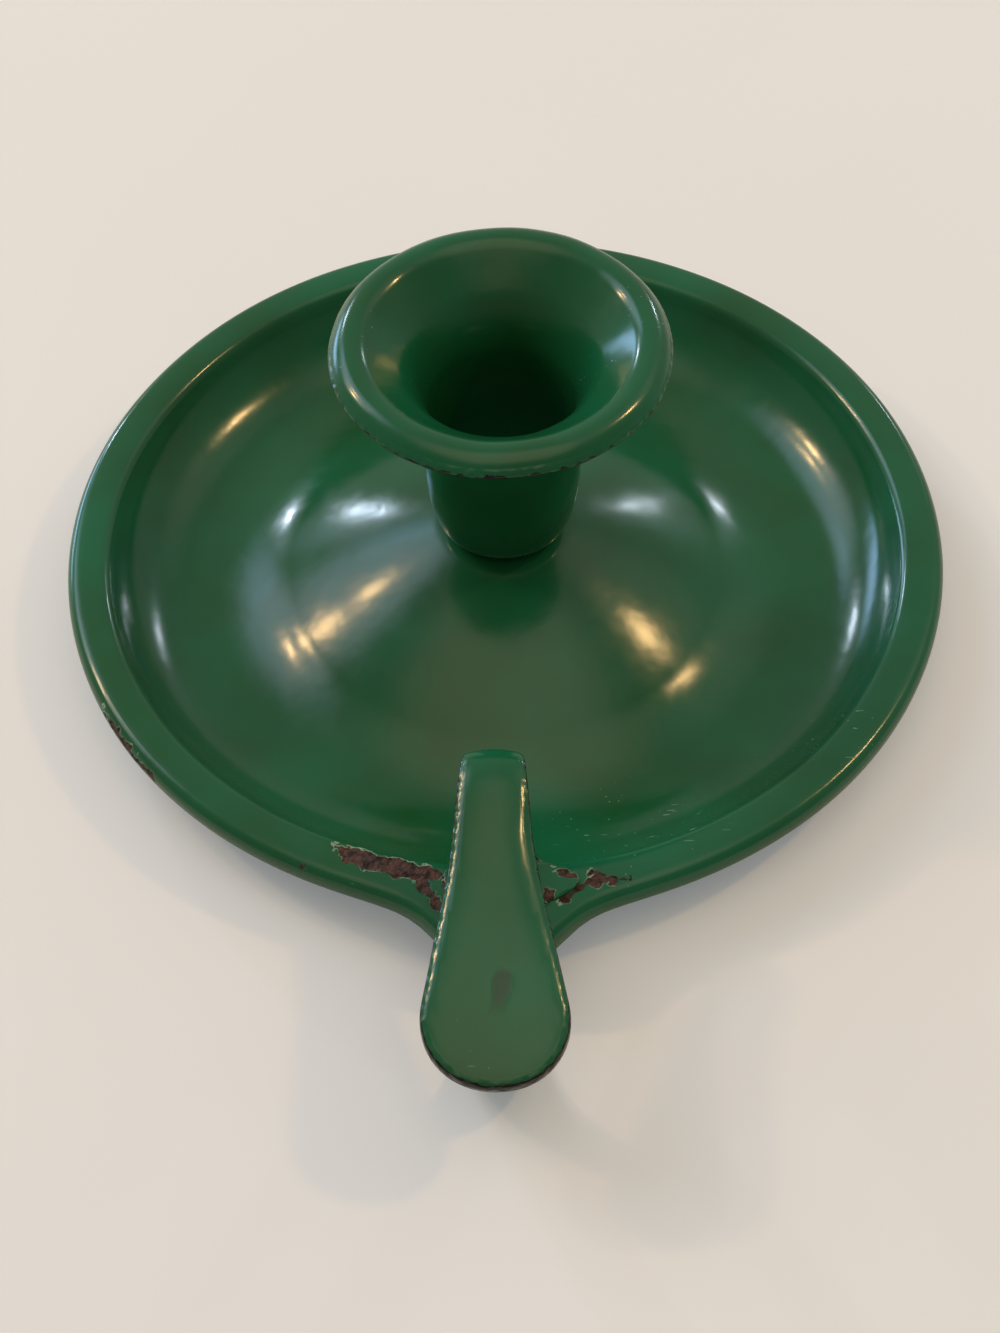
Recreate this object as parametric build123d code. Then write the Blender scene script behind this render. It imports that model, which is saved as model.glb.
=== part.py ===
from build123d import *
import math
import os

os.makedirs("parts", exist_ok=True)

# An enamelled chamberstick: a shallow pressed pan with a domed middle, a flared
# candle socket, a thumb rest over the rim and a finger loop under it.
# The origin is the middle of the pan on the table. The handle points to -Y.
# Lengths are millimetres, angles are degrees.

# Sheet and joints
sheet = 0.9                 # pressed steel with its enamel on both sides
weld_gap = 0.1              # left between pieces that meet along a weld
overrun = 2.0               # how far a cutting shape passes the face it cuts
straight_share = 0.04       # of a straight run, what its two bends leave straight at least

# Pan, from the rim inwards
pan_radius = 72.5           # outside of the rolled rim
rim_height = 12.5           # table to the top of the rim
rim_width = 6.7             # top of the wall to the outside of the roll
rim_drop = 5.0              # how far the roll reaches down
rim_return = 3.4            # how far the roll turns back in underneath
rim_bend = 2.2              # outer bends of the roll
wall_bend = 1.7             # bend from the wall to the top of the rim
wall_lean = 4.7             # how far the wall leans out on its way up
wall_toe = 9.8              # where the curve from floor to wall starts
rest_width = 3.7            # flat ring of the floor that the pan rests on
floor_toe = 4.6             # where the curve from floor to dome starts

# Dome in the middle of the pan
land_height = 15.8          # table to the flat land under the socket
land_radius = 9.6
land_bend = 6.0
dome_radius = 24.5          # where the dome's two slopes meet
dome_drop = 4.85            # how far the dome has fallen there
dome_toe = 13.0             # where the long curve between its slopes starts

# Candle socket
bore_radius = 11.6          # holds a household candle of 22 mm with room to spare
socket_floor_radius = 9.9
socket_floor_bend = 2.2
socket_taper = 9.0          # height over which the cup widens to its bore
socket_taper_bend = 40.0
bore_length = 16.0          # from the top of the taper to the bend of the throat
throat_toe = 4.4            # where the bend from the bore to the flare starts
flare_radius = 26.2         # outside of the lip
flare_rise = 9.4            # from the throat's corner to the lip's corner
lip_width = 2.5             # from the lip's corner to its outside
lip_drop = 2.1              # how far the lip turns down
lip_bend = 2.3

# Rivet in the floor of the socket
rivet_radius = 2.0
rivet_fit = 0.1             # gap between the shank and its holes
rivet_head_radius = 3.8
rivet_head_height = 1.3
rivet_tail_radius = 3.4
rivet_tail_height = 1.2

# Lug drawn out of the rim towards the handle
lug_spread = 14.0           # half its width where its straight sides would meet the rim
lug_sweep = 16.0            # radius of the curves that run into it from the rim
lug_tip = 6.4               # half the width of its end
lug_reach = 7.8             # from the rim to its end
lug_corner = 3.0            # plan radius of its end's corners

# Finger loop
strap = 1.2                 # thickness of its steel
strap_width = 11.0
tongue_start = 0.8          # from the rim to the end welded under the lug
loop_start = 6.4            # from the rim to the loop's inner side
loop_inside = 19.2          # width of the finger hole
loop_floor = 2.0            # table to the inside of the loop
strap_bend = 1.0            # inside of the bend under the lug
loop_low_bend = 7.0
loop_bend = 9.2
loop_high_bend = 8.2
tab_length = 11.5           # from the loop's outer side to its welded end

# Thumb rest
leg_setback = 0.7           # from the inside of the rim to the front of the leg
leg_lean = 13.6             # how far the leg's line leans in on its way up
crest_height = 34.0         # table to the corner of the leg's line and the plate's
crest_bend = 3.8            # inside of the bend at the top of the leg
plate_drop = 11.9           # how far the plate falls from that corner to its end
plate_reach = 34.8          # from the rim to the free end of the plate
plate_end_radius = 10.2     # round free end
plate_neck = 4.5            # half its width at the bend
plate_flare = 13.0          # angle that its sides splay at where they meet that end
plate_edge = 2.4            # how far its edges turn down
plate_edge_bend = 0.6       # inside of the bend along those edges
leg_foot = 6.8              # half the leg's width on the rim
leg_neck_rise = 11.5        # from the rim to where the leg is as narrow as the bend
foot_bend = 1.0             # inside of the bend between foot and leg
foot_spread = 13.0          # half the width of the foot, before its corners are rounded
foot_length = 8.4           # from the front of the leg outwards
foot_end = 6.0              # half the width of its outer end
foot_widest = 3.0           # from the front of the leg to its widest place
foot_corner = 2.4

# Sizes that follow from those above
wall_top = pan_radius - rim_width
wall_foot = wall_top - wall_lean
rest_radius = wall_foot - wall_toe
dome_foot = rest_radius - rest_width - floor_toe
seat_height = land_height + sheet
bore_start = seat_height + socket_taper
throat_height = bore_start + bore_length + throat_toe
lug_under = rim_height - sheet
leg_front = wall_top - leg_setback
crest_front = leg_front - leg_lean
plate_end = pan_radius + plate_reach
plate_angle = math.atan2(plate_drop, plate_end - crest_front)
leg_angle = math.atan2(crest_height - rim_height, leg_lean)
crest_turn = math.pi + plate_angle - leg_angle
neck_run = (crest_bend + sheet) * math.tan(crest_turn / 2) / (1 - straight_share)
lug_root = math.sqrt(pan_radius ** 2 - lug_spread ** 2)
rim_seam = (wall_top + pan_radius) / 2
rim_round = min(rim_bend, rim_drop / 2 * (1 - straight_share))


def direction(a, b):
    """The unit vector from one point of an outline to the next."""
    run = math.hypot(b[0] - a[0], b[1] - a[1])
    return (b[0] - a[0]) / run, (b[1] - a[1]) / run


def turn(a, b, c):
    """The angle that an outline turns by at its middle point, positive to the left."""
    before, after = direction(a, b), direction(b, c)
    return math.atan2(before[0] * after[1] - before[1] * after[0],
                      before[0] * after[0] + before[1] * after[1])


def bend_toe(points, corner, radius):
    """How far from a corner a bend of this radius starts."""
    return radius * math.tan(abs(turn(*points[corner - 1:corner + 2])) / 2)


def fitted(points, toes):
    """The toes of the bends, cut down where two of them would meet on their run."""
    toes = [0] + list(toes) + [0]
    for i in range(len(points) - 1):
        room = math.dist(points[i], points[i + 1]) * (1 - straight_share)
        wanted = toes[i] + toes[i + 1]
        if wanted > room:
            toes[i] *= room / wanted
            toes[i + 1] *= room / wanted
    return toes[1:-1]


def parallel(points, gap):
    """The same corners moved to a parallel outline, on the right where the gap is positive."""
    ways = [direction(a, b) for a, b in zip(points, points[1:])]
    normals = [(gap * y, -gap * x) for x, y in ways]
    moved = [(points[0][0] + normals[0][0], points[0][1] + normals[0][1])]
    for point, before, after in zip(points[1:], normals, normals[1:]):
        share = gap ** 2 / (gap ** 2 + before[0] * after[0] + before[1] * after[1])
        moved.append((point[0] + (before[0] + after[0]) * share,
                      point[1] + (before[1] + after[1]) * share))
    moved.append((points[-1][0] + normals[-1][0], points[-1][1] + normals[-1][1]))
    return moved


def sheet_section(points, toes, wall):
    """The closed section of a bent sheet. Its face follows the points, and the sheet
    lies to their right, or to their left where the wall is negative."""
    face_radii = []
    back_radii = []
    for i, toe in enumerate(fitted(points, toes)):
        angle = turn(*points[i:i + 3])
        radius = toe / math.tan(abs(angle) / 2)
        face_radii.append(radius)
        back_radii.append(max(radius + math.copysign(wall, angle * wall), 0))
    back = parallel(points, wall)
    lines = [
        FilletPolyline(*points, radius=face_radii),
        Line(points[-1], back[-1]),
        FilletPolyline(*back, radius=back_radii),
        Line(back[0], points[0]),
    ]
    return make_face([edge for line in lines for edge in line.edges()])


def revolved(points, toes):
    """A sheet turned about the candle's axis, with its upper face given as radius, height."""
    return revolve(Plane.XZ * sheet_section(points, toes, sheet), Axis.Z)


def across(section, width):
    """A side section, drawn with -Y to the left, made as wide as given."""
    return extrude(Plane.YZ * section, width / 2, both=True)


def at_rim(reach):
    """The Y place of something this far outside the rim, towards the handle."""
    return -pan_radius - reach


def dish():
    """The pan inside its rim: the dome with its land, the trough, the wall and half the rim."""
    points = [
        (0, land_height),
        (land_radius, land_height),
        (dome_radius, land_height - dome_drop),
        (dome_foot, sheet),
        (wall_foot, sheet),
        (wall_top, rim_height),
        (rim_seam, rim_height),
    ]
    toes = [
        bend_toe(points, 1, land_bend),
        dome_toe,
        floor_toe,
        wall_toe,
        bend_toe(points, 5, wall_bend),
    ]
    return revolved(points, toes)


def cutter(radius, top):
    """A round cutting shape on the candle's axis, from below the table to past a height."""
    return Pos(0, 0, top / 2) * Cylinder(radius, top + overrun * 2)


def mirrored(lines):
    """The edges of some lines of a plan, and the same edges on the other side."""
    edges = [edge for line in lines for edge in line.edges()]
    return edges + [mirror(edge, Plane.YZ) for edge in edges]


def rim_outline():
    """Plan of the rim: a circle that sweeps out on one side to the blunt end of the lug."""
    tip = Vector(-lug_tip, at_rim(lug_reach))
    root = Vector(-lug_spread, -lug_root)
    inside = root + (root - tip).normalized() * overrun
    lug = make_face(Polyline(inside, tip, (-tip.X, tip.Y), (-inside.X, inside.Y), close=True))
    outline = Circle(pan_radius) + lug
    outline = fillet(outline.vertices().group_by(Axis.Y)[1], lug_sweep)
    return fillet(outline.vertices().group_by(Axis.Y)[0], lug_corner)


def rounded(outline, low, high, radius):
    """A block on a plan, from one height to another, with its level edges rounded."""
    block = Pos(0, 0, low) * extrude(outline, high - low)
    ends = block.faces().sort_by(Axis.Z)
    return fillet(ends[0].edges() + ends[-1].edges(), radius)


def rolled_rim():
    """Outer half of the rim: flat top, turned-down side, and a lip turned back in below.
    Under the lug the lip is left out, to let the finger loop in."""
    outline = rim_outline()
    low = rim_height - rim_drop
    middle = rim_height - rim_drop / 2
    block = rounded(outline, low, rim_height, rim_round)
    hollow = rounded(offset(outline, -sheet), low + sheet, lug_under, rim_round - sheet)
    mouth = offset(outline, -sheet) & Pos(0, at_rim(lug_reach / 2)) * Rectangle(lug_spread * 2, lug_reach)
    below = extrude(offset(outline, -rim_return) + mouth, middle)
    above = Pos(0, 0, middle) * extrude(Circle(rim_seam), rim_drop)
    return block - hollow - below - above


def pan():
    """Pressed pan with its dome, rolled rim and lug, and the rivet's hole in its land."""
    return dish() + rolled_rim() - cutter(rivet_radius + rivet_fit, land_height)


def candle_socket():
    """Deep-drawn cup with a tapered foot, a straight bore and a flared, rolled lip."""
    lip_height = throat_height + flare_rise
    points = [
        (0, seat_height),
        (socket_floor_radius, seat_height),
        (bore_radius, bore_start),
        (bore_radius, throat_height),
        (flare_radius - lip_width, lip_height),
        (flare_radius, lip_height - lip_drop),
    ]
    toes = [
        bend_toe(points, 1, socket_floor_bend),
        bend_toe(points, 2, socket_taper_bend),
        throat_toe,
        bend_toe(points, 4, lip_bend),
    ]
    return revolved(points, toes) - cutter(rivet_radius + rivet_fit, seat_height)


def socket_rivet():
    """Rivet with a low head inside the socket and its tail closed under the dome."""
    under = land_height - sheet
    top = (0, seat_height + rivet_head_height)
    bottom = (0, under - rivet_tail_height)
    lines = [
        TangentArc(top, (rivet_head_radius, seat_height), tangent=(1, 0)),
        Line((rivet_head_radius, seat_height), (rivet_radius, seat_height)),
        Line((rivet_radius, seat_height), (rivet_radius, under)),
        Line((rivet_radius, under), (rivet_tail_radius, under)),
        TangentArc(bottom, (rivet_tail_radius, under), tangent=(1, 0)),
        Line(bottom, top),
    ]
    section = make_face([edge for line in lines for edge in line.edges()])
    return revolve(Plane.XZ * section, Axis.Z)


def plate_height(y):
    """Height of the thumb rest's upper face at a place along the handle."""
    return crest_height + (y + crest_front) * math.tan(plate_angle)


def finger_loop():
    """Strap welded under the lug, bent round the finger and welded under the thumb rest."""
    lap = (sheet + weld_gap + strap) / math.cos(plate_angle)
    near = at_rim(loop_start)
    far = at_rim(loop_start + loop_inside)
    end = far + tab_length
    points = [
        (at_rim(tongue_start), lug_under),
        (near, lug_under),
        (near, loop_floor),
        (far, loop_floor),
        (far, plate_height(far) - lap),
        (end, plate_height(end) - lap),
    ]
    toes = [
        bend_toe(points, 1, strap_bend + strap),
        bend_toe(points, 2, loop_low_bend),
        bend_toe(points, 3, loop_bend),
        bend_toe(points, 4, loop_high_bend),
    ]
    return across(sheet_section(points, toes, -strap), strap_width)


def thumb_strip():
    """Foot, leg and bend of the thumb rest as one bent strip, cut to their outlines."""
    widest = leg_front + foot_widest
    points = [
        (-leg_front - foot_length, rim_height),
        (-leg_front, rim_height),
        (-crest_front, crest_height),
        (-crest_front - neck_run * math.cos(plate_angle),
         crest_height - neck_run * math.sin(plate_angle)),
    ]
    toes = [
        bend_toe(points, 1, foot_bend + sheet),
        bend_toe(points, 2, crest_bend + sheet),
    ]
    strip = across(sheet_section(points, toes, -sheet), foot_spread * 2)
    leg = make_face(Polyline(
        (-leg_foot, rim_height),
        (-plate_neck, rim_height + leg_neck_rise),
        (-plate_neck, crest_height),
        (plate_neck, crest_height),
        (plate_neck, rim_height + leg_neck_rise),
        (leg_foot, rim_height),
        close=True,
    ))
    foot = make_face(Polyline(
        (-leg_foot, -leg_front),
        (-foot_spread, -widest),
        (-foot_end, -leg_front - foot_length),
        (foot_end, -leg_front - foot_length),
        (foot_spread, -widest),
        (leg_foot, -leg_front),
        close=True,
    ))
    outer_corners = foot.vertices().filter_by(lambda corner: corner.Y < -leg_front - foot_corner / 2)
    foot = fillet(outer_corners, foot_corner)
    envelope = extrude(Plane.XZ * leg, widest) + Pos(0, 0, rim_height) * extrude(foot, sheet)
    return strip & envelope


def teardrop():
    """Outline of the plate in its own plane, from the corner over the leg to its round end."""
    middle = plate_end_radius - math.hypot(plate_drop, plate_end - crest_front)
    splay = math.radians(plate_flare)
    shoulder = (-plate_end_radius * math.cos(splay), middle + plate_end_radius * math.sin(splay))
    sides = mirrored([
        TangentArc(shoulder, (-plate_neck, -neck_run), tangent=(math.sin(splay), math.cos(splay))),
        Line((-plate_neck, -neck_run), (-plate_neck, 0)),
    ])
    neck_end = Line((-plate_neck, 0), (plate_neck, 0)).edge()
    round_end = ThreePointArc(shoulder, (0, middle - plate_end_radius), (-shoulder[0], shoulder[1])).edge()
    return make_face(sides + [neck_end, round_end])


def rounded_block(outline, depth, radius):
    """A block under an outline, with its top edges rounded all round."""
    block = extrude(outline, -depth)
    return fillet(block.faces().sort_by(Axis.Z)[-1].edges(), radius)


def thumb_plate():
    """Plate of the thumb rest with its edges turned down, open where the bend begins."""
    outline = teardrop()
    block = rounded_block(outline, plate_edge, plate_edge_bend + sheet)
    hollow = rounded_block(offset(outline, -sheet), plate_edge, plate_edge_bend)
    neck = Pos(0, (overrun - neck_run) / 2) * Box(
        (plate_neck + overrun) * 2, neck_run + overrun, (plate_edge + overrun) * 2)
    plane = Plane(
        origin=(0, -crest_front, crest_height),
        x_dir=(1, 0, 0),
        z_dir=(0, -math.sin(plate_angle), math.cos(plate_angle)),
    )
    return plane * (block - Pos(0, 0, -sheet) * hollow - neck)


def thumb_rest():
    """Thumb rest in one sheet: the spread foot on the rim, the leg, the bend, the plate."""
    return thumb_strip() + thumb_plate()


for piece in (pan, candle_socket, socket_rivet, finger_loop, thumb_rest):
    export_step(piece(), f"parts/{piece.__name__}.step")
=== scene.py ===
import math

import bmesh
import bpy
from bpy.props import FloatProperty, FloatVectorProperty, IntProperty, PointerProperty
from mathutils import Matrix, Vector, noise


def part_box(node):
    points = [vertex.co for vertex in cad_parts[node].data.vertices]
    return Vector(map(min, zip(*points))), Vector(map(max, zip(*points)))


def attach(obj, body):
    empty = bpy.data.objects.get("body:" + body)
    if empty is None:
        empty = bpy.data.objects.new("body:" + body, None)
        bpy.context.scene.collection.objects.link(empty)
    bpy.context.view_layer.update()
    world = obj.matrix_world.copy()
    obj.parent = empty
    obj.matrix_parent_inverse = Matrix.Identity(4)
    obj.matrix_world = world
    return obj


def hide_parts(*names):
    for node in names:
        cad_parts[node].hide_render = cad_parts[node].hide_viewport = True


bl_info = {
    "name": "Enamel Chamberstick",
    "version": (1, 0, 0),
    "blender": (4, 5, 0),
    "location": "3D View > Sidebar > Chamberstick",
    "description": "Builds an enamelled chamberstick with a thumb rest and a finger loop",
    "category": "Add Mesh",
}

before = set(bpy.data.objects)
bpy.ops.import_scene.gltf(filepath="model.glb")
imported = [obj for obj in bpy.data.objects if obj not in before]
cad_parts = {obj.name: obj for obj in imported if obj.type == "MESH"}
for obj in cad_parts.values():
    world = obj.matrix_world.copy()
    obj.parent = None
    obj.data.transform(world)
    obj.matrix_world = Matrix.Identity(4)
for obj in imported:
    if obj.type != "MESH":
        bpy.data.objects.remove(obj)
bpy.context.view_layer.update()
pan_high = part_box("pan")[1]
socket_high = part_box("candle_socket")[1]
loop_low, loop_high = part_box("finger_loop")

# Meshes are made in millimetres and brought to metres when they are finished.
# The candle's axis is Z, the table is at 0 and the handle points to -Y.
MM = 1000.0

# Thickness of the pressed steel with its enamel on both sides, in millimetres
SHEET = 0.9

# Where the enamel is chipped off, as runs: two places and the half width at each
RIM_CHIPS = [
    ((-24.6, -62.5, 12.5), (-21.5, -64.1, 12.5), 0.5, 1.6),
    ((-21.5, -64.1, 12.5), (-15.2, -66.4, 12.5), 1.6, 1.7),
    ((-15.2, -66.6, 12.5), (-9.6, -67.4, 12.5), 1.4, 0.9),
    ((-11.9, -67.8, 12.5), (-9.0, -73.2, 12.5), 1.1, 0.5),
    ((9.6, -71.8, 12.5), (11.1, -70.6, 12.5), 0.9, 0.4),
    ((11.1, -70.6, 12.5), (12.8, -68.6, 12.5), 0.4, 0.5),
    ((12.8, -68.6, 12.5), (14.8, -68.3, 12.5), 0.6, 1.2),
    ((14.8, -68.3, 12.5), (16.9, -68.3, 12.5), 1.2, 0.6),
    ((13.2, -67.6, 12.5), (15.0, -65.9, 12.4), 0.4, 0.2),
    ((16.9, -68.4, 12.5), (19.2, -68.5, 12.5), 0.25, 0.15),
    ((-62.9, -35.4, 10.8), (-58.4, -42.4, 10.6), 0.5, 0.8),
    ((-58.4, -42.4, 10.6), (-53.6, -48.4, 10.5), 0.8, 0.4),
    ((-29.3, -65.9, 12.3), (-28.6, -66.3, 12.3), 0.35, 0.25),
    ((-27.8, -67.3, 12.2), (-27.6, -67.5, 12.2), 0.3, 0.3),
    ((-22.0, -70.7, 11.7), (-21.6, -70.9, 11.7), 0.3, 0.3),
]
FOOT_CHIPS = [
    ((6.9, -70.7, 13.0), (7.3, -72.0, 13.0), 0.8, 0.6),
    ((8.3, -67.0, 13.0), (11.8, -68.6, 13.0), 0.3, 0.5),
    ((11.8, -69.4, 13.0), (13.8, -68.2, 13.0), 0.8, 0.9),
    ((-8.6, -68.2, 13.0), (-7.4, -71.0, 13.0), 0.4, 0.3),
]

# The dull mark of the weld that joins the finger loop under the thumb rest's plate
WELD_MARK = [
    ((0.9, -92.3, 25.1), (0.7, -94.6, 24.6), 1.2, 1.1),
]

# Where small pale scratches lie thick: a place and how far they reach from it
RIM_SCUFFS = [
    ((25.0, -56.0, 6.0), 15.0),
    ((16.0, -50.0, 2.0), 12.0),
    ((52.0, -40.0, 8.0), 12.0),
    ((-20.0, -64.0, 12.0), 8.0),
    ((17.0, -65.5, 12.0), 7.0),
]
LIP_SCUFFS = [
    ((-26.0, 3.0, 54.0), 13.0),
    ((25.0, 8.0, 54.0), 11.0),
    ((14.0, -2.0, 50.0), 8.0),
]
PLATE_SCUFFS = [
    ((-2.0, -101.0, 23.5), 6.0),
]

# Soft glows of the room, like windows and warm walls far off: turn from +Y towards +X,
# height angle and reach in degrees, strength in the middle, colour
GLOWS = [
    (-58, 41, 21, 2.5, "#cbe2ff"),
    (-37, 22, 8, 1.2, "#cbe4ff"),
    (-40, 35, 8, 1.6, "#a8d4ff"),
    (-47, 2, 15, 8.0, "#a8d4ff"),
    (35, 21, 7, 0.5, "#d8eaff"),
    (180, 78, 37, 0.8, "#ffe8c8"),
    (58, 48, 20, 0.3, "#ffeed8"),
]

# Small bright panes and lamps: name, turn and height angle as above, distance, width and
# height in metres, share of the light, colour
LAMPS = [
    ("left_window", -34, 20, 1.3, 0.03, 0.07, 0.06, "#d8ebff"),
    ("right_window", 31, 20, 1.3, 0.015, 0.11, 0.03, "#e4f0ff"),
    ("left_lamp", -69, 38, 1.0, 0.05, 0.05, 0.10, "#ffcf8c"),
    ("left_lamp_low", -61, 44, 1.0, 0.035, 0.035, 0.05, "#ffcf8c"),
    ("right_lamp", 76, 50, 1.0, 0.055, 0.055, 0.11, "#ffcf8c"),
]

# The camera's place in metres and its turn in degrees, solved from the rim's ellipse
CAMERA_PLACE = (0.00657, -0.25105, 0.29889)
CAMERA_TURN = (37.8699, 0.8815, 0.6582)

# Half the side of the square counter, in metres
COUNTER_REACH = 8.0

# Sockets of the colour Mix node, whose names it shares with its other kinds
MIX_SHARE, MIX_FIRST, MIX_SECOND, MIX_RESULT = 0, 6, 7, 2


def eased(value, start, end):
    """0 at the start, 1 at the end and smooth in between."""
    share = min(max((value - start) / (end - start), 0.0), 1.0)
    return share * share * (3.0 - 2.0 * share)


def uneven(place, size, height):
    """A gentle wave with bumps about this far apart and this high."""
    return noise.noise(place / size) * height


def from_run(place, start, along):
    """The offset of a place from the nearest point of a run, and that point's share of it."""
    share = min(max((place - start).dot(along) / along.length_squared, 0.0), 1.0)
    return place - start - along * share, share


def run_depth(place, runs):
    """How far inside the nearest of some runs a place is, negative outside them."""
    depth = -100.0
    for start, end, start_width, end_width in runs:
        start = Vector(start)
        offset, share = from_run(place, start, Vector(end) - start)
        width = start_width + (end_width - start_width) * share
        depth = max(depth, width - offset.length)
    return depth


def round_corners(bm, verts, corners):
    """Bends an outline at its corners. Each corner is a place, how far from it the
    outline starts to bend, and the number of segments in the bend."""
    for vert, (place, toe, segments) in zip(verts, corners):
        if toe:
            bmesh.ops.bevel(
                bm, geom=[vert], offset=toe, offset_type="OFFSET", affect="VERTICES",
                segments=segments, profile=0.5, material=-1,
            )


def bent_line(bm, corners):
    """Draws a line through its corners and bends it at each."""
    verts = [bm.verts.new(corner[0]) for corner in corners]
    for pair in zip(verts, verts[1:]):
        bm.edges.new(pair)
    round_corners(bm, verts, corners)


def part_long_edges(bm, longest):
    """Divides the edges that are longer than this."""
    for edge in bm.edges[:]:
        cuts = int(edge.calc_length() / longest)
        if cuts:
            bmesh.ops.subdivide_edges(bm, edges=[edge], cuts=cuts)


def turned(corners, steps, longest):
    """Turns a section about the candle's axis, with its faces up in the middle. Its
    corners are radius, height, toe and segments."""
    bm = bmesh.new()
    bent_line(bm, [((radius, 0.0, height), toe, segments)
                   for radius, height, toe, segments in corners])
    part_long_edges(bm, longest)
    bmesh.ops.spin(
        bm, geom=bm.verts[:] + bm.edges[:], cent=(0, 0, 0), axis=(0, 0, 1), dvec=(0, 0, 0),
        angle=math.tau, steps=steps, use_merge=True,
    )
    bmesh.ops.remove_doubles(bm, verts=bm.verts[:], dist=1e-4)
    bmesh.ops.recalc_face_normals(bm, faces=bm.faces[:])
    inner = min(bm.faces, key=lambda face: face.calc_center_median().xy.length)
    if inner.normal.z < 0:
        bmesh.ops.reverse_faces(bm, faces=bm.faces[:])
    return bm


def refine(bm, runs, reach, cuts):
    """Divides the mesh finely round some runs."""
    near = [edge for edge in bm.edges
            if all(run_depth(vert.co, runs) > -reach for vert in edge.verts)]
    bmesh.ops.subdivide_edges(bm, edges=near, cuts=cuts, use_grid_fill=True)


def mark(bm, chips, scuffs, depth):
    """Stores where the enamel is chipped or scuffed, and sinks the chips below it. The
    chip value is 0.5 on a chip's ragged outline and changes by 1 over a few millimetres."""
    change = 3.0
    chip = bm.verts.layers.float.new("chip")
    scuff = bm.verts.layers.float.new("scuff")
    bm.normal_update()
    for vert in bm.verts:
        place = vert.co.copy()
        inside = run_depth(place, chips) if vert.normal.z > -0.3 else -100.0
        if inside > -change:
            inside += uneven(place, size=1.7, height=0.9) + uneven(place, size=0.6, height=0.6)
        vert[chip] = min(max(0.5 + inside / change, 0.0), 1.0)
        vert[scuff] = max([1.0 - eased((place - Vector(spot)).length, reach * 0.2, reach)
                           for spot, reach in scuffs] + [0.0])
        if inside > -0.3:
            broken = 0.8 + uneven(place, size=0.9, height=0.6)
            vert.co -= vert.normal * depth * broken * eased(inside, -0.15, 0.35)


def wear_edge(bm, radius, top, start, full, most):
    """Stores where the ground coat shows outside a radius. It starts this far below the
    top, and shows most from the full depth down."""
    worn_and_shade = bm.verts.layers.float.new("worn_and_shade")
    for vert in bm.verts:
        if vert.co.xy.length > radius:
            vert[worn_and_shade] = most * eased(-vert.co.z, start - top, full - top)


def give_thickness(bm, thickness, rounding):
    """Thickens a shell behind its faces and rounds its free edges."""
    bmesh.ops.solidify(bm, geom=bm.faces[:], thickness=thickness)
    bm.normal_update()
    sharp = [edge for edge in bm.edges
             if len(edge.link_faces) == 2 and edge.calc_face_angle() > math.radians(62)]
    bmesh.ops.bevel(
        bm, geom=sharp, offset=rounding, offset_type="OFFSET", affect="EDGES",
        segments=3, profile=0.5, material=-1,
    )


def finished(bm, name, node, material):
    """Brings a mesh to metres and makes it the piece that stands for a node."""
    bmesh.ops.scale(bm, vec=(1 / MM,) * 3, verts=bm.verts[:])
    for face in bm.faces:
        face.smooth = True
    mesh = bpy.data.meshes.new(name)
    bm.to_mesh(mesh)
    bm.free()
    mesh.materials.append(material)
    piece = bpy.data.objects.new(name, mesh)
    bpy.context.collection.objects.link(piece)
    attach(piece, "root")
    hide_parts(node)


def linear(colour):
    """The linear colour of an sRGB hex value."""
    values = [int(colour[place:place + 2], 16) / 255 for place in (1, 3, 5)]
    return [value / 12.92 if value <= 0.04045 else ((value + 0.055) / 1.055) ** 2.4
            for value in values] + [1.0]


def add(tree, kind, inputs=None, output=0, **settings):
    """Adds a node with its settings, gives each input its value or link, and returns an output."""
    node = tree.nodes.new(kind)
    for name, value in settings.items():
        setattr(node, name, value)
    for name, value in (inputs or {}).items():
        if isinstance(value, bpy.types.NodeSocket):
            tree.links.new(value, node.inputs[name])
        else:
            node.inputs[name].default_value = value
    return node.outputs[output] if node.outputs else None


def spaced(millimetres):
    """The scale of a pattern whose marks are about this far apart."""
    return MM / millimetres


def emptied(name):
    """A material made of nodes, with none in it yet."""
    material = bpy.data.materials.get(name) or bpy.data.materials.new(name)
    material.use_nodes = True
    material.node_tree.nodes.clear()
    return material


def clouded_green(tree, place, look):
    """The glass itself, a little deeper and yellower in clouds about 25 mm apart."""
    clouds = add(tree, "ShaderNodeTexNoise", {
        "Vector": place, "Scale": spaced(25), "Detail": 2.0})
    cloud_share = add(tree, "ShaderNodeMapRange", {
        "Value": clouds, "From Min": 0.3, "From Max": 0.7})
    return add(tree, "ShaderNodeMix", {
        MIX_SHARE: cloud_share,
        MIX_FIRST: [*look.deep_green, 1.0], MIX_SECOND: [*look.clear_green, 1.0],
    }, MIX_RESULT, data_type="RGBA")


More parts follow.
